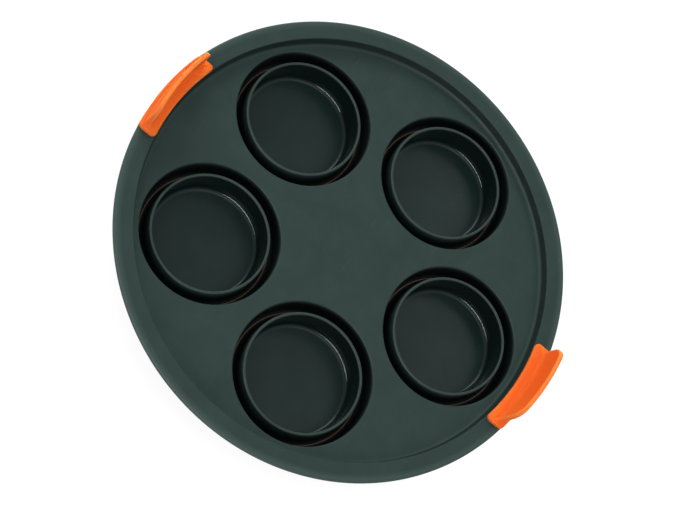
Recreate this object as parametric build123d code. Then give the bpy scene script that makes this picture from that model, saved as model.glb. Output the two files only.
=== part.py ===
"""Round silicone muffin tray with five push-out cups and two pinch grips, in millimetres.

The tray lies on the XY plane with +Z up, its origin on the table under the middle of the tray, and its
grips on the X axis. Rim, deck, moats and cups are one silicone moulding. It is built as a still zone
(tray_deck) and five cup zones, which move when a cup is pushed out from below: each cup hangs in its
opening on the thin fold at the bottom of its moat. A steel hoop lies inside the rim, and an orange
silicone grip with a tall fin is sleeved over the rim at each end.
"""
import os
from math import asin, degrees, pi, sin

from build123d import *

# Tray
TRAY_RADIUS = 150.0
WALL = 2.0  # silicone skin
RIM_WIDTH = 12.3  # flat top of the rim, from its inner edge to the tray's edge
RIM_RISE = 8.0  # rim top above the deck
RIM_THICKNESS = 4.5
RIM_WALL_DRAFT = 0.9  # how far the rim's inner wall leans in from its top to the deck
RIM_EDGE_ROUND = 1.6
RIM_INNER_ROUND = 0.8
RIM_FOOT_ROUND = 2.5
RIM_UNDER_ROUND_SHARES = (0.6, 0.15)  # of the height under the flange: at the deck, at the flange

# Cups and the moats round them
CUP_COUNT = 5
DECK_LAND = 4.1  # deck left between an opening and the rim's foot
OPENING_GAP = 12.46  # deck left between two openings
CUP_DEPTH = 20.5
CUP_DRAFT = 0.5
CUP_FLOOR_ROUND = 3.0
CUP_BASE_ROUND = 3.0
RING_THICKNESS = 1.9  # cup wall at its top
RING_DRAFT = 0.7  # how far the cup wall's outside spreads down to the moat
RING_DROP = 0.5  # cup wall's top below the deck
MOAT_WIDTH = 5.4  # at its floor
MOAT_UNDER = 4.5  # from the table to the underside of the moats
OPENING_DRAFT = 0.5
OPENING_LIP_ROUND = 1.2
OPENING_UNDER_ROUND = 1.5
FULL_ROUND_SHARE = 0.96  # of half a wall or a moat, where it is rounded all across
FOLD_CLEARANCE = 0.3  # between the cup zone and the still zone, at the outside of the moat's floor
FOLD_PLACE_SHARE = 0.93  # of the moat's width, from the cup's wall to that gap
SEAM_OVERLAP = 0.5  # how far a moat's wall runs into the deck plate that it is fused to

# Hoop inside the rim
HOOP_WIRE = 2.8
HOOP_CLEARANCE = 0.05

# Grips
GRIP_HALF_LENGTH = 32.0
GRIP_SKIN = 2.2  # outer and lower wall of the sleeve
GRIP_FLAP = 3.0  # the sleeve above the rim
GRIP_CLEARANCE = 0.05
GRIP_UNDER_WIDTH = 8.0  # the sleeve below the rim
GRIP_CORNER_ROUND = 3.0
GRIP_EDGE_ROUND = 1.1
FIN_HEIGHT = 26.0  # above the rim's top
FIN_TIP_THICKNESS = 2.9
FIN_ROOT_THICKNESS = 3.8
FIN_ROOT_INSET = 4.0  # the fin's middle at its root, in from the tray's edge
FIN_TIP_INSET = 3.7
FIN_END_INSET = 3.8  # from each end of the sleeve to the fin's root
FIN_END_SLOPE = 0.8  # how far each end of the fin leans in from its root to its tip
FIN_CORNER_ROUND = 8.5
FIN_INNER_ROUND = 2.4
FIN_FOOT_ROUND = 2.5
SHOULDER_ROUND_SHARES = (0.45, 0.5)  # of the ledge outside the fin: at the fin, at the edge
FIN_LEAN = {"grip_right": 1.9, "grip_left": -2.0}  # how far each soft fin's tip stands outwards

# One overrun serves all cuts
OVERRUN = 5.0

# Levels and radii that follow
floor_top = WALL
ring_top = floor_top + CUP_DEPTH
deck_top = ring_top + RING_DROP
deck_under = deck_top - WALL
moat_floor = MOAT_UNDER + WALL
rim_top = deck_top + RIM_RISE
rim_under = rim_top - RIM_THICKNESS
rim_inner = TRAY_RADIUS - RIM_WIDTH
rim_foot = rim_inner - RIM_WALL_DRAFT
half_step_sine = sin(pi / CUP_COUNT)
opening_reach = rim_foot - DECK_LAND
opening_radius = (opening_reach * half_step_sine - OPENING_GAP / 2) / (1 + half_step_sine)
cup_circle_radius = opening_reach - opening_radius
moat_outer = opening_radius - OPENING_DRAFT
moat_inner = moat_outer - MOAT_WIDTH
ring_outer = moat_inner - RING_DRAFT
cup_radius = ring_outer - RING_THICKNESS
fold_edge = moat_inner + FOLD_PLACE_SHARE * MOAT_WIDTH
fin_root_half_length = GRIP_HALF_LENGTH - FIN_END_INSET
fin_tip_half_length = fin_root_half_length - FIN_END_SLOPE
pocket_radius = TRAY_RADIUS - GRIP_SKIN
skirt_half_length = GRIP_HALF_LENGTH - GRIP_CORNER_ROUND
hoop_radius = (rim_inner + WALL + pocket_radius) / 2
hoop_level = rim_top - RIM_THICKNESS / 2


def section(*corners):
    """A face in the XZ plane through corners given as (radius, height, rounding)."""
    points = [(x, z) for x, z, _ in corners]
    rounds = [rounding for _, _, rounding in corners]
    outline = FilletPolyline(*points, radius=rounds, close=True)
    return Plane.XZ * make_face(outline)


def cup_places():
    """One location for each cup, the first of them on +X."""
    return PolarLocations(cup_circle_radius, CUP_COUNT)


def skin_section():
    """Cup, cup wall, moat and a strip of deck: one even skin, turned about the cup's axis."""
    ring_round = FULL_ROUND_SHARE * RING_THICKNESS / 2
    moat_round = FULL_ROUND_SHARE * MOAT_WIDTH / 2
    strip_end = opening_radius + WALL + OPENING_UNDER_ROUND + SEAM_OVERLAP
    base_radius = cup_radius - CUP_DRAFT + WALL
    return section(
        (0, 0, 0),
        (base_radius, 0, CUP_BASE_ROUND),
        (base_radius, MOAT_UNDER, 0),
        (moat_outer + WALL, MOAT_UNDER, moat_round + WALL),
        (opening_radius + WALL, deck_under, OPENING_UNDER_ROUND),
        (strip_end, deck_under, 0),
        (strip_end, deck_top, 0),
        (opening_radius, deck_top, OPENING_LIP_ROUND),
        (moat_outer, moat_floor, moat_round),
        (moat_inner, moat_floor, moat_round),
        (ring_outer, ring_top, ring_round),
        (cup_radius, ring_top, ring_round),
        (cup_radius - CUP_DRAFT, floor_top, CUP_FLOOR_ROUND),
        (0, floor_top, 0),
    )


def zone(inner, outer):
    """The part of the skin between two radii from the cup's axis, as a turned solid."""
    height = 2 * (rim_top + OVERRUN)
    window = Plane.XZ * Pos((inner + outer) / 2, 0) * Rectangle(outer - inner, height)
    return revolve(skin_section() & window, Axis.Z)


def cup():
    """Floor, wall and moat floor of one cup, which move together when it is pushed out."""
    return zone(0, fold_edge)


def moat_wall():
    """The still outer wall of a moat, with the rounded lip of its opening."""
    far = opening_radius + WALL + OPENING_UNDER_ROUND + SEAM_OVERLAP + OVERRUN
    return zone(fold_edge + FOLD_CLEARANCE, far)


def rim_and_plate():
    """The deck without its openings, and the rim with its flange."""
    under_height = rim_under - deck_under
    at_deck, at_flange = RIM_UNDER_ROUND_SHARES
    profile = section(
        (0, deck_under, 0),
        (rim_foot + WALL, deck_under, at_deck * under_height),
        (rim_inner + WALL, rim_under, at_flange * under_height),
        (TRAY_RADIUS, rim_under, RIM_EDGE_ROUND),
        (TRAY_RADIUS, rim_top, RIM_EDGE_ROUND),
        (rim_inner, rim_top, RIM_INNER_ROUND),
        (rim_foot, deck_top, RIM_FOOT_ROUND),
        (0, deck_top, 0),
    )
    return revolve(profile, Axis.Z)


def hoop(wire):
    """A round wire hoop in the middle of the rim's thickness."""
    return Pos(0, 0, hoop_level) * Torus(hoop_radius, wire / 2)


def along_rim(profile, inner, half_length):
    """A profile turned about the tray's axis, half_length to each side of +X at the inner radius."""
    half_angle = degrees(asin(half_length / inner))
    return Rot(0, 0, -half_angle) * revolve(profile, Axis.Z, 2 * half_angle)


def rim_arc(inner, low, high, half_length):
    """A block bent along the rim at +X, from the inner radius out past the tray's edge."""
    outer = TRAY_RADIUS + OVERRUN
    window = Pos((inner + outer) / 2, (low + high) / 2) * Rectangle(outer - inner, high - low)
    return along_rim(Plane.XZ * window, inner, half_length)


def grip_pocket():
    """What the rim gives up to the skirt, so that the grip ends flush with the tray's edge."""
    half_length = skirt_half_length + GRIP_CLEARANCE
    return rim_arc(pocket_radius, rim_under - OVERRUN, rim_top + OVERRUN, half_length)


def skirt_ends():
    """What the sleeve gives up past the ends of its skirt, where the rim keeps its full width."""
    seat_edge = pocket_radius + GRIP_CLEARANCE
    low = rim_under - GRIP_CLEARANCE
    high = rim_top + GRIP_CLEARANCE
    whole = rim_arc(seat_edge, low, high, GRIP_HALF_LENGTH + OVERRUN)
    return whole - rim_arc(seat_edge, low, high, skirt_half_length)


def grip_prism():
    """The grip's rounded outline seen from above, taller than the grip."""
    band = Circle(TRAY_RADIUS) - Circle(rim_inner)
    bar = band & Pos(TRAY_RADIUS, 0) * Rectangle(2 * TRAY_RADIUS, 2 * GRIP_HALF_LENGTH)
    return extrude(fillet(bar.vertices(), GRIP_CORNER_ROUND), rim_top + FIN_HEIGHT + OVERRUN)


def grip_section(lean):
    """The sleeve round the rim with its fin, turned about the tray's axis."""
    flap_top = rim_top + GRIP_FLAP
    sleeve_under = rim_under - GRIP_SKIN
    seat_top = rim_top + GRIP_CLEARANCE
    seat_under = rim_under - GRIP_CLEARANCE
    seat_edge = pocket_radius + GRIP_CLEARANCE
    under_start = TRAY_RADIUS - GRIP_UNDER_WIDTH
    root = TRAY_RADIUS - FIN_ROOT_INSET
    tip = TRAY_RADIUS - FIN_TIP_INSET + lean
    fin_top = rim_top + FIN_HEIGHT
    tip_round = FULL_ROUND_SHARE * FIN_TIP_THICKNESS / 2
    ledge = FIN_ROOT_INSET - FIN_ROOT_THICKNESS / 2
    at_fin, at_edge = SHOULDER_ROUND_SHARES
    return section(
        (under_start, sleeve_under, 0),
        (TRAY_RADIUS, sleeve_under, GRIP_EDGE_ROUND),
        (TRAY_RADIUS, flap_top, at_edge * ledge),
        (root + FIN_ROOT_THICKNESS / 2, flap_top, at_fin * ledge),
        (tip + FIN_TIP_THICKNESS / 2, fin_top, tip_round),
        (tip - FIN_TIP_THICKNESS / 2, fin_top, tip_round),
        (root - FIN_ROOT_THICKNESS / 2, flap_top, FIN_INNER_ROUND),
        (rim_inner, flap_top, GRIP_EDGE_ROUND),
        (rim_inner, seat_top, 0),
        (seat_edge, seat_top, 0),
        (seat_edge, seat_under, 0),
        (under_start, seat_under, 0),
    )


def grip_side():
    """The grip seen from the tray's middle: flap ends, and the fin with its sloping ends."""
    flap_top = rim_top + GRIP_FLAP
    fin_top = rim_top + FIN_HEIGHT
    sleeve_under = rim_under - GRIP_SKIN
    half = [
        (GRIP_HALF_LENGTH, sleeve_under, GRIP_EDGE_ROUND),
        (GRIP_HALF_LENGTH, flap_top, GRIP_EDGE_ROUND),
        (fin_root_half_length, flap_top, FIN_FOOT_ROUND),
        (fin_tip_half_length, fin_top, FIN_CORNER_ROUND),
    ]
    mirrored = [(-y, z, rounding) for y, z, rounding in reversed(half)]
    corners = half + mirrored
    points = [(y, z) for y, z, _ in corners]
    outline = FilletPolyline(*points, radius=[rounding for _, _, rounding in corners], close=True)
    return extrude(Plane.YZ * make_face(outline), TRAY_RADIUS + OVERRUN)


def grip(lean):
    """A grip on the +X end of the rim."""
    sleeve = along_rim(grip_section(lean), rim_inner, GRIP_HALF_LENGTH + OVERRUN)
    return (sleeve & grip_prism() & grip_side()) - skirt_ends()


def tray_deck():
    """Rim, deck and moat walls: the zone of the moulding that keeps still."""
    body = rim_and_plate()
    plate_hole = opening_radius + WALL + OPENING_UNDER_ROUND
    for place in cup_places():
        body -= place * Cylinder(plate_hole, 2 * (deck_top + OVERRUN))
        body += place * moat_wall()
    for turn in (0, 180):
        body -= Rot(0, 0, turn) * grip_pocket()
    return body - hoop(HOOP_WIRE + 2 * HOOP_CLEARANCE)


def solid(shape):
    """The single solid that a node holds."""
    parts = shape.solids()
    if len(parts) != 1:
        raise ValueError(f"expected one solid, got {len(parts)}")
    return parts[0]


def main():
    os.makedirs("parts", exist_ok=True)
    nodes = {"tray_deck": tray_deck(), "rim_hoop": hoop(HOOP_WIRE)}
    for number, place in enumerate(cup_places(), start=1):
        nodes[f"cup_{number}"] = place * cup()
    for name, turn in (("grip_right", 0), ("grip_left", 180)):
        nodes[name] = Rot(0, 0, turn) * grip(FIN_LEAN[name])
    for name, shape in nodes.items():
        export_step(solid(shape), f"parts/{name}.step")


main()
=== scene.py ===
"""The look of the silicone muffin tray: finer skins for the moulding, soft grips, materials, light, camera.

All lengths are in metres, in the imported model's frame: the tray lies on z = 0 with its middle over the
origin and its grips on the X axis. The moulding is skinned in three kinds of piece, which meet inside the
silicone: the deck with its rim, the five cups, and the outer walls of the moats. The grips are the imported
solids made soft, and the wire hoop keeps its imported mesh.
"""
from math import asin, ceil, cos, pi, radians, sin, tan

import bmesh
import bpy
from mathutils import Matrix, Vector


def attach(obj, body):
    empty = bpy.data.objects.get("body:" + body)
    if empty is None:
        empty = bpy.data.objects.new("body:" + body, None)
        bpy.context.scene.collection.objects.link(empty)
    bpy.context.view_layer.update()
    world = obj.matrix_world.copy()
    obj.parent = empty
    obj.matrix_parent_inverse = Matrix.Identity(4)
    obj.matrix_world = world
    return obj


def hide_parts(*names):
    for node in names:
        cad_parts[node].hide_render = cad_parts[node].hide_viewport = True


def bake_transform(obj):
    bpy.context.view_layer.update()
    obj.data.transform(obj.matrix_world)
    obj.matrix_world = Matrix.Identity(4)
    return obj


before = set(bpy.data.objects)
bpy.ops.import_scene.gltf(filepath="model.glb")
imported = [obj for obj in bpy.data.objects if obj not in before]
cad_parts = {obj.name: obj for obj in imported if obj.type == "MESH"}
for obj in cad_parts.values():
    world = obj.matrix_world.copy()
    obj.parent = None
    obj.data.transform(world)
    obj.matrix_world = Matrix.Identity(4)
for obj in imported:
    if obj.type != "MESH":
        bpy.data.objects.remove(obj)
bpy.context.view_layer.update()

MM = 0.001

# The moulding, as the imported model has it
TRAY_RADIUS = 150 * MM
RIM_INNER = 137.7 * MM
RIM_FOOT = 136.8 * MM
RIM_TOP = 31 * MM
RIM_UNDER = 26.5 * MM
DECK_TOP = 23 * MM
DECK_UNDER = 21 * MM
WALL = 2 * MM
RIM_FOOT_ROUND = 2.5 * MM
RIM_INNER_ROUND = 0.8 * MM
RIM_EDGE_ROUND = 1.6 * MM
FLANGE_ROUND = 0.8 * MM
DECK_UNDER_ROUND = 2.6 * MM
CUP_COUNT = 5
CUP_CIRCLE_RADIUS = 87.5 * MM
CUP_RADIUS = 36.7 * MM
CUP_FLOOR_RADIUS = 36.2 * MM
CUP_FLOOR_ROUND = 3 * MM
CUP_BASE_ROUND = 3 * MM
RING_TOP = 22.5 * MM
RING_OUTER = 38.6 * MM
RING_ROUND = 0.91 * MM
MOAT_FLOOR = 6.5 * MM
MOAT_INNER = 39.3 * MM
MOAT_OUTER = 44.7 * MM
MOAT_MIDDLE = (MOAT_INNER + MOAT_OUTER) / 2
MOAT_ROUND = 2.59 * MM
MOAT_UNDER_ROUND = 0.6 * MM
OPENING_RADIUS = 45.2 * MM
OPENING_LIP_ROUND = 1.2 * MM
OPENING_UNDER_ROUND = 1.5 * MM

# The pocket in the rim's edge for a grip's skirt, 0.1 mm larger than the skirt
POCKET_RADIUS = 147.7 * MM
POCKET_HALF_LENGTH = 29.1 * MM
SKIRT_INNER_RADIUS = 147.8 * MM
POCKET_END_ANGLE = asin(POCKET_HALF_LENGTH / SKIRT_INNER_RADIUS)

# Where the skins of the moulding meet
PLATE_TOP_RADIUS = 134.35 * MM
PLATE_UNDER_RADIUS = 136.42 * MM
HOLE_TOP_RADIUS = 46.6 * MM
HOLE_UNDER_RADIUS = 48.8 * MM

# Mesh fineness. SUPPORT is the length of a short run on each side of an arc, which keeps its shading inside.
# POCKET_COLUMN_NUDGE is an angle in radians.
ARC_STEP = radians(9)
FEWEST_ARC_STEPS = 3
SUPPORT = 0.15 * MM
LONGEST_RUN = 1.5 * MM
RIM_COLUMNS = 288
POCKET_COLUMN_NUDGE = 0.0001
CUP_COLUMNS = 144
SHARP_ANGLE = radians(35)

# The grips' soft skins. Their fins stand free of the fold at their foot from FIN_FREE up.
GRIP_NAMES = ("grip_right", "grip_left")
GRIP_SKIN = 2.2 * MM
GRIP_VOXEL = 0.4 * MM
GRIP_RELAX = 0.5
GRIP_RELAX_ROUNDS = 8
FIN_FREE = 42 * MM
FIN_SHIFT = {"grip_right": 0.9 * MM, "grip_left": 0}
BEND_BLUR_ROUNDS = 8

# Where a look starts and where it is full: distance from the tray's axis, heights, slopes, curvatures
RIM_EDGE_HIGHLIGHT_DISTANCES = (145 * MM, TRAY_RADIUS)
CUP_POLISH_AND_SHADE_HEIGHTS = (2.3 * MM, 3 * MM)
RING_LEVEL = 21.95 * MM
RING_MATT_HEIGHTS = (20.4 * MM, RING_LEVEL)
RING_HIGHLIGHT_HEIGHTS = (RING_LEVEL, 22.45 * MM)
MOAT_SHADE_TOP = 22.7 * MM
MOAT_SHADE_END = 19 * MM
CUP_SHADE_END = 11 * MM
MOAT_FLOOR_HIGHLIGHT_HEIGHTS = (MOAT_FLOOR + 0.012 * MM, MOAT_FLOOR)
STEEP_SHADE_SLOPES = (0.8, 0.3)
EDGE_HIGHLIGHT_BENDS = (60, 300)
FOLD_SHADE_BENDS = (-30, -400)

# Colours, 0 to 255
DECK_DARK = (34, 50, 47)
DECK_LIGHT = (39, 56, 53)
# Painted highlight: the rim's outer edge paler, as where light catches it.
RIM_EDGE_HIGHLIGHT_COLOUR = (58, 75, 71)
# Painted shade: steep faces darker, as where little light falls.
STEEP_SHADE_COLOUR = (23, 36, 34)
CUP_DARK = (17, 34, 32)
CUP_LIGHT = (22, 39, 37)
# Painted shade on the cups' polished walls.
WALL_SHADE_COLOUR = (15, 27, 25)
# Painted highlight along the top of each cup's ring.
RING_HIGHLIGHT_COLOUR = (53, 67, 63)
# Painted shade deep in the moats.
MOAT_SHADE_COLOUR = (13, 19, 18)
# Painted warm highlight in a thin line at the bottom of each moat.
MOAT_FLOOR_HIGHLIGHT_COLOUR = (95, 76, 60)
DUST_COLOUR = (150, 155, 150)
# Painted shade in the grips' folds.
ORANGE_FOLD_SHADE = (234, 88, 16)
# Painted shade on the grips' fins.
ORANGE_FIN_SHADE = (242, 94, 21)
ORANGE_DARK = (238, 108, 30)
ORANGE_LIGHT = (242, 117, 37)
# Painted highlight on the fins' edges.
ORANGE_EDGE_HIGHLIGHT = (240, 132, 58)
ORANGE_DUST = (250, 190, 150)
STEEL_DARK = (150, 150, 152)
STEEL_LIGHT = (190, 190, 192)
FLOOR_COLOUR = (200, 200, 200)

# Noise: the part of its range that most of it lies in, and the sizes of clouds in colour and patches in gloss
NOISE_LOW = 0.3
NOISE_HIGH = 0.7
SILICONE_CLOUD = 22 * MM
GRIP_CLOUD = 14 * MM
STEEL_STAIN = 5 * MM
GLOSS_PATCH = 9 * MM
GRIP_GLOSS_PATCH = 6 * MM

# Waves and grain in a surface: size, depth, detail
DECK_WAVES = (30 * MM, 0.25 * MM, 1)
DECK_GRAIN = (0.35 * MM, 0.012 * MM, 2)
CUP_WAVES = (26 * MM, 0.1 * MM, 1)
CUP_GRAIN = (0.35 * MM, 0.004 * MM, 2)
MOAT_GRAIN = (0.35 * MM, 0.01 * MM, 2)
GRIP_WAVES = (12 * MM, 0.15 * MM, 1)
GRIP_GRAIN = (0.3 * MM, 0.01 * MM, 2)
STEEL_GRAIN = (0.3 * MM, 0.01 * MM, 2)

# Dust: spacing and size of its spots, share of places with one, strength. Scratches: length, width, strength.
SILICONE_DUST = (7 * MM, 0.28 * MM, 0.16, 0.35)
GRIP_DUST = (5 * MM, 0.22 * MM, 0.12, 0.3)
DECK_SCRATCHES = (14 * MM, 0.5 * MM, 0.12)
SCRATCH_TURNS = (0.5, 2.3)
SCRATCH_NOISE = (0.72, 0.8)

# Gloss: the least and most roughness, and how much a surface reflects
DECK_ROUGHNESS = (0.52, 0.62)
CUP_FLOOR_ROUGHNESS = (0.28, 0.36)
CUP_WALL_ROUGHNESS = (0.1, 0.16)
RING_ROUGHNESS = (0.5, 0.6)
MOAT_ROUGHNESS = (0.5, 0.6)
GRIP_ROUGHNESS = (0.65, 0.75)
STEEL_ROUGHNESS = (0.3, 0.4)
SILICONE_IOR = 1.43
DECK_SPECULAR = 0.15
CUP_SPECULAR = 0.15
MOAT_SPECULAR = 0.1
GRIP_SPECULAR = 0.12
GRIP_SCATTER = 6 * MM

# Stage and light. A lamp has a name, a place, a size and a power.
WORLD_LIGHT = 0.48
FLOOR_HALF_WIDTH = 3
FLOOR_LEVEL = -0.0003
FLOOR_SHADE_SHARE = 0.15
FLOOR_GLOW = 0.91
SOFTBOXES = [
    ("key", (0.3, -0.25, 2.1), (1.0, 1.0), 13),
    ("side", (-1.35, 1.15, 0.95), (1.0, 0.8), 26),
    ("far", (0.75, 1.4, 2.0), (1.0, 1.0), 8),
    ("fill", (0, -1.6, 1.0), (1.2, 1.0), 7),
]
GLINT = ("glint", (-0.5, -1.42, 0.55), (2.4, 0.16), 100)
GLINT_COLOUR = (0.82, 0.93, 1)

# Camera, fitted to the circles in the photograph
PHOTO_WIDTH = 675
SHIFT_PIXELS = 0.2
CAMERA_PLACE = (-0.10583, -0.46271, 0.97796)
CAMERA_RIGHT = Vector((0.76058, 0.54961, 0.34562))
CAMERA_UP = Vector((-0.64177, 0.71697, 0.27218))
CAMERA_LENS = 90.366
SENSOR_WIDTH = 36
CAMERA_SHIFT = (SHIFT_PIXELS / PHOTO_WIDTH, SHIFT_PIXELS / PHOTO_WIDTH)
CLIP_START = 0.01


# Meshes

def rounded(corners):
    """Points on an open line through corners given as (radius, height, rounding), with arcs at its corners."""
    points = []
    for i, (x, z, rounding) in enumerate(corners):
        here = Vector((x, z))
        if rounding == 0:
            points.append(here)
            continue
        back = (Vector(corners[i - 1][:2]) - here).normalized()
        ahead = (Vector(corners[i + 1][:2]) - here).normalized()
        half = back.angle(ahead) / 2
        turn = pi - 2 * half
        reach = rounding / tan(half)
        centre = here + (back + ahead).normalized() * rounding / sin(half)
        first = here + back * reach - centre
        last = here + ahead * reach - centre
        points.append(centre + first + back * SUPPORT)
        steps = max(FEWEST_ARC_STEPS, ceil(turn / ARC_STEP))
        for step in range(steps + 1):
            part = step / steps
            points.append(centre + (first * sin((1 - part) * turn) + last * sin(part * turn)) / sin(turn))
        points.append(centre + last + ahead * SUPPORT)
    return points


def divided(points, longest):
    """The same line with its long runs cut into equal pieces."""
    cut = [points[0]]
    for start, end in zip(points, points[1:]):
        pieces = max(1, ceil((end - start).length / longest))
        for piece in range(1, pieces + 1):
            cut.append(start.lerp(end, piece / pieces))
    return cut


def even_angles(count):
    return [2 * pi * step / count for step in range(count)]


def ring(bm, centre, radius, height, angles):
    """A circle of vertices, or a single one where the radius is zero."""
    if radius < SUPPORT / 10:
        return [bm.verts.new((centre[0], centre[1], height))]
    return [bm.verts.new((centre[0] + radius * cos(a), centre[1] + radius * sin(a), height)) for a in angles]


def skin_between(bm, low, high):
    """Faces between two rings, either of which may be a single vertex."""
    count = max(len(low), len(high))
    for i in range(count):
        j = (i + 1) % count
        corners = [low[i % len(low)], low[j % len(low)], high[j % len(high)], high[i % len(high)]]
        corners = [v for k, v in enumerate(corners) if v not in corners[:k]]
        bm.faces.new(corners)


def lathe(bm, centre, profile, angles, closed=False):
    """Skins a profile turned about a vertical axis, and returns its rings."""
    rings = [ring(bm, centre, x, z, angles) for x, z in profile]
    for low, high in zip(rings, rings[1:]):
        skin_between(bm, low, high)
    if closed:
        skin_between(bm, rings[-1], rings[0])
    return rings


def circle_edges(bm, verts):
    """The edges of a ring of vertices, made where they don't exist."""
    edges = []
    for a, b in zip(verts, verts[1:] + verts[:1]):
        edges.append(bm.edges.get((a, b)) or bm.edges.new((a, b)))
    return edges


def fill_plate(bm, outer, holes):
    """A flat plate between an outer ring and the rings of its holes."""
    edges = circle_edges(bm, outer)
    for hole in holes:
        edges += circle_edges(bm, hole)
    bmesh.ops.triangle_fill(bm, edges=edges, use_beauty=True, use_dissolve=False)


def finish_mesh(bm, name, material):
    """A smooth shaded object from a closed mesh, with its corners kept sharp."""
    bmesh.ops.recalc_face_normals(bm, faces=bm.faces)
    mesh = bpy.data.meshes.new(name)
    bm.to_mesh(mesh)
    bm.free()
    mesh.set_sharp_from_angle(angle=SHARP_ANGLE)
    return make_object(mesh, name, material)


def make_object(mesh, name, material):
    """A smooth shaded object of one material, under the given name."""
    mesh.polygons.foreach_set("use_smooth", [True] * len(mesh.polygons))
    mesh.materials.clear()
    mesh.materials.append(material)
    piece = bpy.data.objects.new(name, mesh)
    bpy.context.scene.collection.objects.link(piece)
    return piece


def cup_centres():
    """Numbers and middles of the cups, the first of them on +X."""
    places = []
    for number in range(1, CUP_COUNT + 1):
        angle = 2 * pi * (number - 1) / CUP_COUNT
        places.append((number, (CUP_CIRCLE_RADIUS * cos(angle), CUP_CIRCLE_RADIUS * sin(angle))))
    return places


# The moulding's skins

def deck_skin(material):
    """Rim and deck down to the openings, with both faces of the silicone."""
    bm = bmesh.new()
    profile = rounded([
        (PLATE_TOP_RADIUS, DECK_TOP, 0),
        (RIM_FOOT, DECK_TOP, RIM_FOOT_ROUND),
        (RIM_INNER, RIM_TOP, RIM_INNER_ROUND),
        (TRAY_RADIUS, RIM_TOP, RIM_EDGE_ROUND),
        (TRAY_RADIUS, RIM_UNDER, RIM_EDGE_ROUND),
        (RIM_INNER + WALL, RIM_UNDER, FLANGE_ROUND),
        (RIM_FOOT + WALL, DECK_UNDER, DECK_UNDER_ROUND),
        (PLATE_UNDER_RADIUS, DECK_UNDER, 0),
    ])
    rings = lathe(bm, (0, 0), divided(profile, LONGEST_RUN), rim_angles())
    for loop in rings:
        for vertex in loop:
            tuck_into_grip(vertex)
    tops = []
    unders = []
    for _, centre in cup_centres():
        cap = [Vector((HOLE_TOP_RADIUS, DECK_TOP)), Vector((HOLE_UNDER_RADIUS, DECK_UNDER))]
        top, under = lathe(bm, centre, cap, even_angles(CUP_COLUMNS))
        tops.append(top)
        unders.append(under)
    fill_plate(bm, rings[0], tops)
    fill_plate(bm, rings[-1], unders)
    return finish_mesh(bm, "deck_skin", material)


def rim_angles():
    """The rim's columns, with a close pair at each end of each grip's skirt."""
    angles = even_angles(RIM_COLUMNS)
    for middle in (0, pi):
        for side in (-1, 1):
            for nudge in (-POCKET_COLUMN_NUDGE, POCKET_COLUMN_NUDGE):
                angles.append((middle + side * (POCKET_END_ANGLE + nudge)) % (2 * pi))
    return sorted(angles)


def tuck_into_grip(vertex):
    """Draws the rim's edge in where a grip's skirt takes its place."""
    x, y, _ = vertex.co
    radius = (x * x + y * y) ** 0.5
    if radius > POCKET_RADIUS and abs(y) < radius * sin(POCKET_END_ANGLE):
        vertex.co.x *= POCKET_RADIUS / radius
        vertex.co.y *= POCKET_RADIUS / radius


def moat_skin(number, centre, material, moat_material):
    """The outer wall of a moat, from the deck round its lip to the middle of the moat's floor."""
    bm = bmesh.new()
    profile = rounded([
        (HOLE_TOP_RADIUS, DECK_TOP, 0),
        (OPENING_RADIUS, DECK_TOP, OPENING_LIP_ROUND),
        (MOAT_OUTER, MOAT_FLOOR, MOAT_ROUND),
        (MOAT_MIDDLE, MOAT_FLOOR, 0),
        (MOAT_MIDDLE, MOAT_FLOOR - WALL, 0),
        (MOAT_OUTER + WALL, MOAT_FLOOR - WALL, MOAT_ROUND + WALL),
        (OPENING_RADIUS + WALL, DECK_UNDER, OPENING_UNDER_ROUND),
        (HOLE_UNDER_RADIUS, DECK_UNDER, 0),
    ])
    lathe(bm, centre, divided(profile, LONGEST_RUN), even_angles(CUP_COLUMNS), closed=True)
    piece = finish_mesh(bm, f"moat_wall_{number}", material)
    line_moat(piece, centre, moat_material)
    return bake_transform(piece)


def cup_skin(number, centre, material, moat_material):
    """A cup with its wall and the inner half of its moat's floor."""
    bm = bmesh.new()
    base = CUP_FLOOR_RADIUS + WALL
    profile = rounded([
        (0, WALL, 0),
        (CUP_FLOOR_RADIUS, WALL, CUP_FLOOR_ROUND),
        (CUP_RADIUS, RING_TOP, RING_ROUND),
        (RING_OUTER, RING_TOP, RING_ROUND),
        (MOAT_INNER, MOAT_FLOOR, MOAT_ROUND),
        (MOAT_MIDDLE, MOAT_FLOOR, 0),
        (MOAT_MIDDLE, MOAT_FLOOR - WALL, 0),
        (base, MOAT_FLOOR - WALL, MOAT_UNDER_ROUND),
        (base, 0, CUP_BASE_ROUND),
        (0, 0, 0),
    ])
    lathe(bm, centre, divided(profile, LONGEST_RUN), even_angles(CUP_COLUMNS))
    piece = finish_mesh(bm, f"cup_skin_{number}", material)
    line_moat(piece, centre, moat_material)
    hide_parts(f"cup_{number}")
    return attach(piece, f"cup_{number}")


def line_moat(piece, centre, moat_material):
    """Gives the faces that look into the moat its material, which has painted shade."""
    piece.data.materials.append(moat_material)
    for face in piece.data.polygons:
        radius = (face.center.xy - Vector(centre)).length
        across = RING_OUTER - RING_ROUND / 2 < radius < OPENING_RADIUS + SUPPORT
        top = RING_LEVEL + RING_ROUND if radius > MOAT_MIDDLE else RING_LEVEL
        if across and MOAT_FLOOR - SUPPORT < face.center.z < top:
            face.material_index = 1


# The grips' skins

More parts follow.
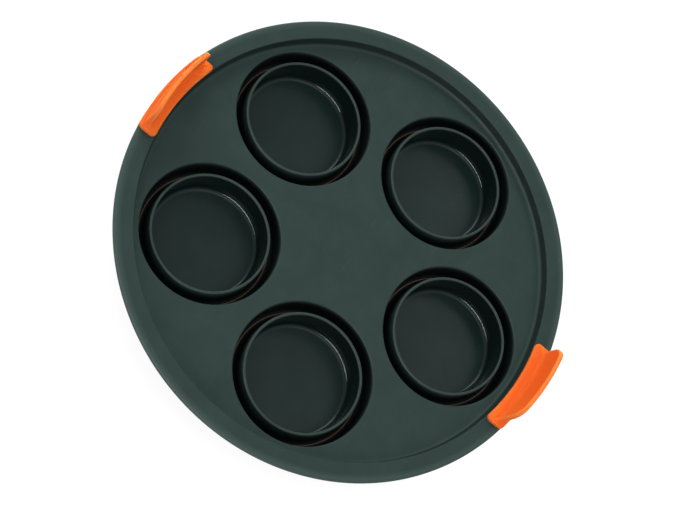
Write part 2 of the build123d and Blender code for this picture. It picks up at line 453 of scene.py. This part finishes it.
def soft_grip(name, material):
    """A grip's solid, remeshed finely and relaxed, so that its edges are as soft as moulded silicone."""
    source = bpy.data.objects.new(name + "_source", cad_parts[name].data.copy())
    bpy.context.scene.collection.objects.link(source)
    remesh = source.modifiers.new("remesh", "REMESH")
    remesh.mode = "VOXEL"
    remesh.voxel_size = GRIP_VOXEL
    relax = source.modifiers.new("relax", "SMOOTH")
    relax.factor = GRIP_RELAX
    relax.iterations = GRIP_RELAX_ROUNDS
    evaluated = source.evaluated_get(bpy.context.evaluated_depsgraph_get())
    mesh = bpy.data.meshes.new_from_object(evaluated)
    bpy.data.objects.remove(source)
    lean_fin(mesh, FIN_SHIFT[name])
    mesh.name = name + "_skin"
    mark_bends(mesh)
    piece = make_object(mesh, name + "_skin", material)
    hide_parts(name)
    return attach(piece, "tray")


def lean_fin(mesh, shift):
    """Moves a fin along the rim, smoothly from none at its foot to all of the shift where it stands free."""
    for vertex in mesh.vertices:
        rise = min(max((vertex.co.z - RIM_TOP) / (FIN_FREE - RIM_TOP), 0), 1)
        vertex.co.y += shift * rise * rise * (3 - 2 * rise)


def mark_bends(mesh):
    """Stores the surface's curvature, per metre and positive on an edge, for the material to read."""
    bm = bmesh.new()
    bm.from_mesh(mesh)
    bends = []
    for vertex in bm.verts:
        turned = 0
        travelled = 0
        for edge in vertex.link_edges:
            other = edge.other_vert(vertex)
            step = other.co - vertex.co
            turned += (other.normal - vertex.normal).dot(step.normalized())
            travelled += step.length
        bends.append(turned / travelled)
    for _ in range(BEND_BLUR_ROUNDS):
        around = [[bends[edge.other_vert(v).index] for edge in v.link_edges] for v in bm.verts]
        bends = [(bend + sum(near)) / (1 + len(near)) for bend, near in zip(bends, around)]
    bm.free()
    mesh.attributes.new("bend", "FLOAT", "POINT").data.foreach_set("value", bends)


# Materials

def linear(red, green, blue):
    """A screen colour, 0 to 255, as the scene's linear colour."""
    parts = [channel / 255 for channel in (red, green, blue)]
    return [part / 12.92 if part < 0.04045 else ((part + 0.055) / 1.055) ** 2.4 for part in parts] + [1]


def grey(value):
    """A plain number as a colour."""
    return [value] * 3 + [1]


class Shader:
    """A material's node tree, with short calls to add to it.

    A start and a full value make a mask: it is 0 at the first and 1 at the second.
    """

    def __init__(self, name):
        self.material = bpy.data.materials.new(name)
        self.material.use_nodes = True
        self.tree = self.material.node_tree
        self.surface = self.tree.nodes["Principled BSDF"]
        self.place = self.tree.nodes.new("ShaderNodeTexCoord").outputs["Object"]

    def feed(self, socket, value):
        """Links another node's output to a socket, or sets a plain value on it."""
        if isinstance(value, bpy.types.NodeSocket):
            self.tree.links.new(value, socket)
        else:
            socket.default_value = value

    def node(self, kind, **inputs):
        """A new node, with its inputs fed by name."""
        made = self.tree.nodes.new(kind)
        for key, value in inputs.items():
            self.feed(made.inputs[key.replace("_", " ")], value)
        return made

    def math(self, operation, *values):
        made = self.tree.nodes.new("ShaderNodeMath")
        made.operation = operation
        for socket, value in zip(made.inputs, values):
            self.feed(socket, value)
        return made.outputs["Value"]

    def multiply(self, a, b):
        return self.math("MULTIPLY", a, b)

    def mix(self, share, a, b):
        """Colour a where the share is 0, and b where it is 1."""
        made = self.tree.nodes.new("ShaderNodeMix")
        made.data_type = "RGBA"
        for key, value in (("Factor", share), ("A", a), ("B", b)):
            socket = [s for s in made.inputs if s.name == key and s.enabled][0]
            self.feed(socket, value)
        return [s for s in made.outputs if s.enabled][0]

    def between(self, value, start, full):
        """A mask from any value."""
        made = self.node("ShaderNodeMapRange", Value=value)
        made.inputs["From Min"].default_value = start
        made.inputs["From Max"].default_value = full
        return made.outputs["Result"]

    def height(self, start, full):
        """A mask by height above the table."""
        split = self.node("ShaderNodeSeparateXYZ", Vector=self.place)
        return self.between(split.outputs["Z"], start, full)

    def outwards(self, start, full):
        """A mask by distance from the tray's axis."""
        flat = self.node("ShaderNodeVectorMath", Vector=self.place)
        flat.operation = "MULTIPLY"
        flat.inputs[1].default_value = (1, 1, 0)
        length = self.tree.nodes.new("ShaderNodeVectorMath")
        length.operation = "LENGTH"
        self.tree.links.new(flat.outputs["Vector"], length.inputs[0])
        return self.between(length.outputs["Value"], start, full)

    def steepness(self, start, full):
        """A mask by slope, given as the upright part of the surface's normal, up or down."""
        geometry = self.tree.nodes.new("ShaderNodeNewGeometry")
        split = self.node("ShaderNodeSeparateXYZ", Vector=geometry.outputs["Normal"])
        return self.between(self.math("ABSOLUTE", split.outputs["Z"]), start, full)

    def bend(self, start, full):
        """A mask by curvature, on a mesh that mark_bends has been through."""
        stored = self.tree.nodes.new("ShaderNodeAttribute")
        stored.attribute_name = "bend"
        return self.between(stored.outputs["Fac"], start, full)

    def noise(self, size, detail, roughness=0.5):
        """Noise whose lumps are about size across, in metres."""
        return self.node("ShaderNodeTexNoise", Vector=self.place, Scale=1 / size, Detail=detail,
                         Roughness=roughness).outputs["Fac"]

    def ramp(self, value, low, high, ends):
        """One colour below the first end of a value's range, another above the second, and a blend between."""
        made = self.node("ShaderNodeValToRGB", Fac=value)
        for element, where, colour in zip(made.color_ramp.elements, ends, (low, high)):
            element.position = where
            element.color = colour
        return made.outputs["Color"]

    def mottle(self, noise, low, high):
        """One colour where a noise is low, and another where it is high."""
        return self.ramp(noise, low, high, (NOISE_LOW, NOISE_HIGH))

    def dust(self, colour, spots, dust_colour):
        """The colour with scattered round spots: a cell has one where its own random value is under share."""
        spacing, size, share, strength = spots
        cells = self.node("ShaderNodeTexVoronoi", Vector=self.place, Scale=1 / spacing)
        near = self.between(cells.outputs["Distance"], size / spacing, size / spacing / 2)
        split = self.node("ShaderNodeSeparateColor", Color=cells.outputs["Color"])
        chosen = self.math("LESS_THAN", split.outputs["Red"], share)
        dusty = self.multiply(self.multiply(near, chosen), strength)
        return self.mix(dusty, colour, linear(*dust_colour))

    def scratch(self, colour, length, width, strength):
        """The colour with sparse fine lines in two directions."""
        total = None
        for turn in SCRATCH_TURNS:
            turned = self.node("ShaderNodeMapping", Vector=self.place, Rotation=(0, 0, turn),
                               Scale=(1 / width, 1 / length, 1 / length))
            lines = self.node("ShaderNodeTexNoise", Vector=turned.outputs["Vector"], Scale=1, Detail=1)
            thin = self.ramp(lines.outputs["Fac"], grey(0), grey(1), SCRATCH_NOISE)
            total = self.mix(0.5, total, thin) if total else thin
        return self.mix(self.multiply(total, strength), colour, linear(*DUST_COLOUR))

    def bump(self, *layers):
        """Bump from noises given as (size, depth, detail), the first of them deepest."""
        normal = None
        for size, depth, detail in layers:
            made = self.node("ShaderNodeBump", Height=self.noise(size, detail), Distance=depth)
            if normal:
                self.tree.links.new(normal, made.inputs["Normal"])
            normal = made.outputs["Normal"]
        self.tree.links.new(normal, self.surface.inputs["Normal"])

    def finish(self, colour, roughness, **plain):
        """The material, with its colour and roughness linked and its plain numbers set."""
        self.tree.links.new(colour, self.surface.inputs["Base Color"])
        self.tree.links.new(roughness, self.surface.inputs["Roughness"])
        for key, value in plain.items():
            self.surface.inputs[key.replace("_", " ")].default_value = value
        return self.material


def cloudy(shader, dark, light):
    """Silicone that is a little uneven in colour, with some dust on it."""
    clouds = shader.noise(SILICONE_CLOUD, detail=4, roughness=0.6)
    return shader.dust(shader.mottle(clouds, linear(*dark), linear(*light)), SILICONE_DUST, DUST_COLOUR)


def uneven_gloss(shader, roughness, patch=GLOSS_PATCH):
    """Roughness that wanders between two values in patches."""
    low, high = roughness
    return shader.mottle(shader.noise(patch, detail=3), grey(low), grey(high))


def matt_silicone():
    """The rim and deck: finely grained, with painted shade on steep faces, a painted highlight at the rim's edge,
    and short scratches.
    """
    shader = Shader("deck_silicone")
    colour = cloudy(shader, DECK_DARK, DECK_LIGHT)
    # Painted shade on steep faces.
    colour = shader.mix(shader.steepness(*STEEP_SHADE_SLOPES), colour, linear(*STEEP_SHADE_COLOUR))
    # Painted highlight at the rim's outer edge.
    colour = shader.mix(shader.outwards(*RIM_EDGE_HIGHLIGHT_DISTANCES), colour, linear(*RIM_EDGE_HIGHLIGHT_COLOUR))
    colour = shader.scratch(colour, *DECK_SCRATCHES)
    shader.bump(DECK_WAVES, DECK_GRAIN)
    rough = uneven_gloss(shader, DECK_ROUGHNESS)
    return shader.finish(colour, rough, IOR=SILICONE_IOR, Specular_IOR_Level=DECK_SPECULAR)


def glossy_silicone():
    """The cups: matt on the floor and polished on the walls, with painted shade on the walls, and matt at the top
    of the ring, with a painted highlight there.
    """
    shader = Shader("cup_silicone")
    polish_and_shade = shader.height(*CUP_POLISH_AND_SHADE_HEIGHTS)
    # Painted shade: the polished walls darker than the floor.
    colour = shader.mix(polish_and_shade, cloudy(shader, CUP_DARK, CUP_LIGHT), linear(*WALL_SHADE_COLOUR))
    # Painted highlight: the top of the ring paler.
    colour = shader.mix(shader.height(*RING_HIGHLIGHT_HEIGHTS), colour, linear(*RING_HIGHLIGHT_COLOUR))
    shader.bump(CUP_WAVES, CUP_GRAIN)
    rough = shader.mix(polish_and_shade, uneven_gloss(shader, CUP_FLOOR_ROUGHNESS), uneven_gloss(shader, CUP_WALL_ROUGHNESS))
    rough = shader.mix(shader.height(*RING_MATT_HEIGHTS), rough, uneven_gloss(shader, RING_ROUGHNESS))
    return shader.finish(colour, rough, IOR=SILICONE_IOR, Specular_IOR_Level=CUP_SPECULAR)


def moat_silicone(name, shade_end):
    """Inside a moat: painted shade, darker with depth down to shade_end, and a warm painted highlight in a thin
    line at the bottom of the moat.
    """
    shader = Shader(name)
    colour = cloudy(shader, DECK_DARK, DECK_LIGHT)
    # Painted shade: darker with depth.
    colour = shader.mix(shader.height(MOAT_SHADE_TOP, shade_end), colour, linear(*MOAT_SHADE_COLOUR))
    # Painted highlight: a thin warm line at the bottom of the moat.
    colour = shader.mix(shader.height(*MOAT_FLOOR_HIGHLIGHT_HEIGHTS), colour, linear(*MOAT_FLOOR_HIGHLIGHT_COLOUR))
    shader.bump(MOAT_GRAIN)
    rough = uneven_gloss(shader, MOAT_ROUGHNESS)
    return shader.finish(colour, rough, IOR=SILICONE_IOR, Specular_IOR_Level=MOAT_SPECULAR)


def grip_silicone():
    """Orange silicone with a fine matt grain: painted shade on the fin and in its fold, and a painted highlight on
    the fin's edges.
    """
    shader = Shader("grip_silicone")
    colour = shader.mottle(shader.noise(GRIP_CLOUD, detail=3), linear(*ORANGE_DARK), linear(*ORANGE_LIGHT))
    fin = shader.height(RIM_TOP + GRIP_SKIN, FIN_FREE)
    # Painted shade: the fin deeper in colour than the flange.
    colour = shader.mix(fin, colour, linear(*ORANGE_FIN_SHADE))
    # Painted highlight: the fin's convex edges paler.
    edge = shader.multiply(shader.bend(*EDGE_HIGHLIGHT_BENDS), fin)
    colour = shader.mix(edge, colour, linear(*ORANGE_EDGE_HIGHLIGHT))
    # Painted shade: concave folds deeper in colour.
    colour = shader.mix(shader.bend(*FOLD_SHADE_BENDS), colour, linear(*ORANGE_FOLD_SHADE))
    colour = shader.dust(colour, GRIP_DUST, ORANGE_DUST)
    shader.bump(GRIP_WAVES, GRIP_GRAIN)
    rough = uneven_gloss(shader, GRIP_ROUGHNESS, GRIP_GLOSS_PATCH)
    return shader.finish(colour, rough, IOR=SILICONE_IOR, Specular_IOR_Level=GRIP_SPECULAR, Subsurface_Weight=1,
                         Subsurface_Scale=GRIP_SCATTER)


def hoop_steel():
    """Drawn wire, with a fine grain and a little staining."""
    shader = Shader("hoop_steel")
    stain = shader.noise(STEEL_STAIN, detail=3)
    colour = shader.mottle(stain, linear(*STEEL_DARK), linear(*STEEL_LIGHT))
    low, high = STEEL_ROUGHNESS
    rough = shader.mottle(stain, grey(low), grey(high))
    shader.bump(STEEL_GRAIN)
    return shader.finish(colour, rough, Metallic=1)


# Stage, light and camera

def seen_directly(tree):
    """1 where a ray comes from the camera, a mirror or glass, and 0 where it lights the object."""
    path = tree.nodes.new("ShaderNodeLightPath")
    total = path.outputs["Is Camera Ray"]
    for other in ("Is Glossy Ray", "Is Transmission Ray"):
        add = tree.nodes.new("ShaderNodeMath")
        add.operation = "MAXIMUM"
        tree.links.new(total, add.inputs[0])
        tree.links.new(path.outputs[other], add.inputs[1])
        total = add.outputs["Value"]
    return total


def white_world():
    """An even light, and a white background where it is seen."""
    world = bpy.data.worlds.new("studio")
    bpy.context.scene.world = world
    world.use_nodes = True
    tree = world.node_tree
    tree.nodes.clear()
    mix = tree.nodes.new("ShaderNodeMixShader")
    tree.links.new(seen_directly(tree), mix.inputs["Fac"])
    for socket, strength in ((mix.inputs[1], WORLD_LIGHT), (mix.inputs[2], 1)):
        light = tree.nodes.new("ShaderNodeBackground")
        light.inputs["Color"].default_value = (1, 1, 1, 1)
        light.inputs["Strength"].default_value = strength
        tree.links.new(light.outputs["Background"], socket)
    output = tree.nodes.new("ShaderNodeOutputWorld")
    tree.links.new(mix.outputs["Shader"], output.inputs["Surface"])


def floor():
    """A wide pale floor that keeps the tray's shadow, white where the light is even."""
    half = FLOOR_HALF_WIDTH
    mesh = bpy.data.meshes.new("floor")
    corners = [(-half, -half, FLOOR_LEVEL), (half, -half, FLOOR_LEVEL),
               (half, half, FLOOR_LEVEL), (-half, half, FLOOR_LEVEL)]
    mesh.from_pydata(corners, [], [(0, 1, 2, 3)])
    plane = bpy.data.objects.new("floor", mesh)
    bpy.context.scene.collection.objects.link(plane)
    mesh.materials.append(floor_material())


def floor_material():
    """Pale where it lights the tray. Where it is seen, a glow with a share of the light and shade on it."""
    material = bpy.data.materials.new("floor")
    material.use_nodes = True
    tree = material.node_tree
    tree.nodes.clear()
    lit = tree.nodes.new("ShaderNodeBsdfDiffuse")
    lit.inputs["Color"].default_value = linear(*FLOOR_COLOUR)
    shade = tree.nodes.new("ShaderNodeBsdfDiffuse")
    shade.inputs["Color"].default_value = grey(FLOOR_SHADE_SHARE)
    glow = tree.nodes.new("ShaderNodeEmission")
    glow.inputs["Strength"].default_value = FLOOR_GLOW
    shown = tree.nodes.new("ShaderNodeAddShader")
    tree.links.new(shade.outputs["BSDF"], shown.inputs[0])
    tree.links.new(glow.outputs["Emission"], shown.inputs[1])
    mix = tree.nodes.new("ShaderNodeMixShader")
    tree.links.new(seen_directly(tree), mix.inputs["Fac"])
    tree.links.new(lit.outputs["BSDF"], mix.inputs[1])
    tree.links.new(shown.outputs["Shader"], mix.inputs[2])
    output = tree.nodes.new("ShaderNodeOutputMaterial")
    tree.links.new(mix.outputs["Shader"], output.inputs["Surface"])
    return material


def softbox(name, place, size, power):
    """A rectangular area lamp aimed at the tray."""
    lamp = bpy.data.lights.new(name, "AREA")
    lamp.shape = "RECTANGLE"
    lamp.size, lamp.size_y = size
    lamp.energy = power
    holder = bpy.data.objects.new(name, lamp)
    holder.location = place
    holder.rotation_euler = (-Vector(place)).to_track_quat("-Z", "Y").to_euler()
    bpy.context.scene.collection.objects.link(holder)
    return holder


def light_tray():
    """The softboxes, and a strip that only gives the bright arcs at the foot of the cups' walls."""
    for name, place, size, power in SOFTBOXES:
        softbox(name, place, size, power)
    glint = softbox(*GLINT)
    glint.data.color = GLINT_COLOUR
    glint.visible_diffuse = False


def camera():
    """The photograph's camera."""
    lens = bpy.data.cameras.new("camera")
    lens.sensor_width = SENSOR_WIDTH
    lens.lens = CAMERA_LENS
    lens.shift_x, lens.shift_y = CAMERA_SHIFT
    lens.clip_start = CLIP_START
    holder = bpy.data.objects.new("camera", lens)
    bpy.context.scene.collection.objects.link(holder)
    back = CAMERA_RIGHT.cross(CAMERA_UP).normalized()
    right = CAMERA_UP.cross(back).normalized()
    up = back.cross(right)
    turn = Matrix((right, up, back)).transposed()
    holder.matrix_world = Matrix.Translation(CAMERA_PLACE) @ turn.to_4x4()
    bpy.context.scene.camera = holder


def main():
    bpy.context.scene.view_settings.view_transform = "Standard"
    deck_material = matt_silicone()
    cup_material = glossy_silicone()
    moat_material = moat_silicone("moat_silicone", MOAT_SHADE_END)
    cup_moat_material = moat_silicone("cup_moat_silicone", CUP_SHADE_END)
    orange = grip_silicone()
    deck = deck_skin(deck_material)
    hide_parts("tray_deck")
    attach(deck, "tray")
    for number, centre in cup_centres():
        moat_skin(number, centre, deck_material, moat_material)
        cup_skin(number, centre, cup_material, cup_moat_material)
    for name in GRIP_NAMES:
        soft_grip(name, orange)
    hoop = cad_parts["rim_hoop"].data
    hoop.materials.clear()
    hoop.materials.append(hoop_steel())
    white_world()
    floor()
    light_tray()
    camera()


main()
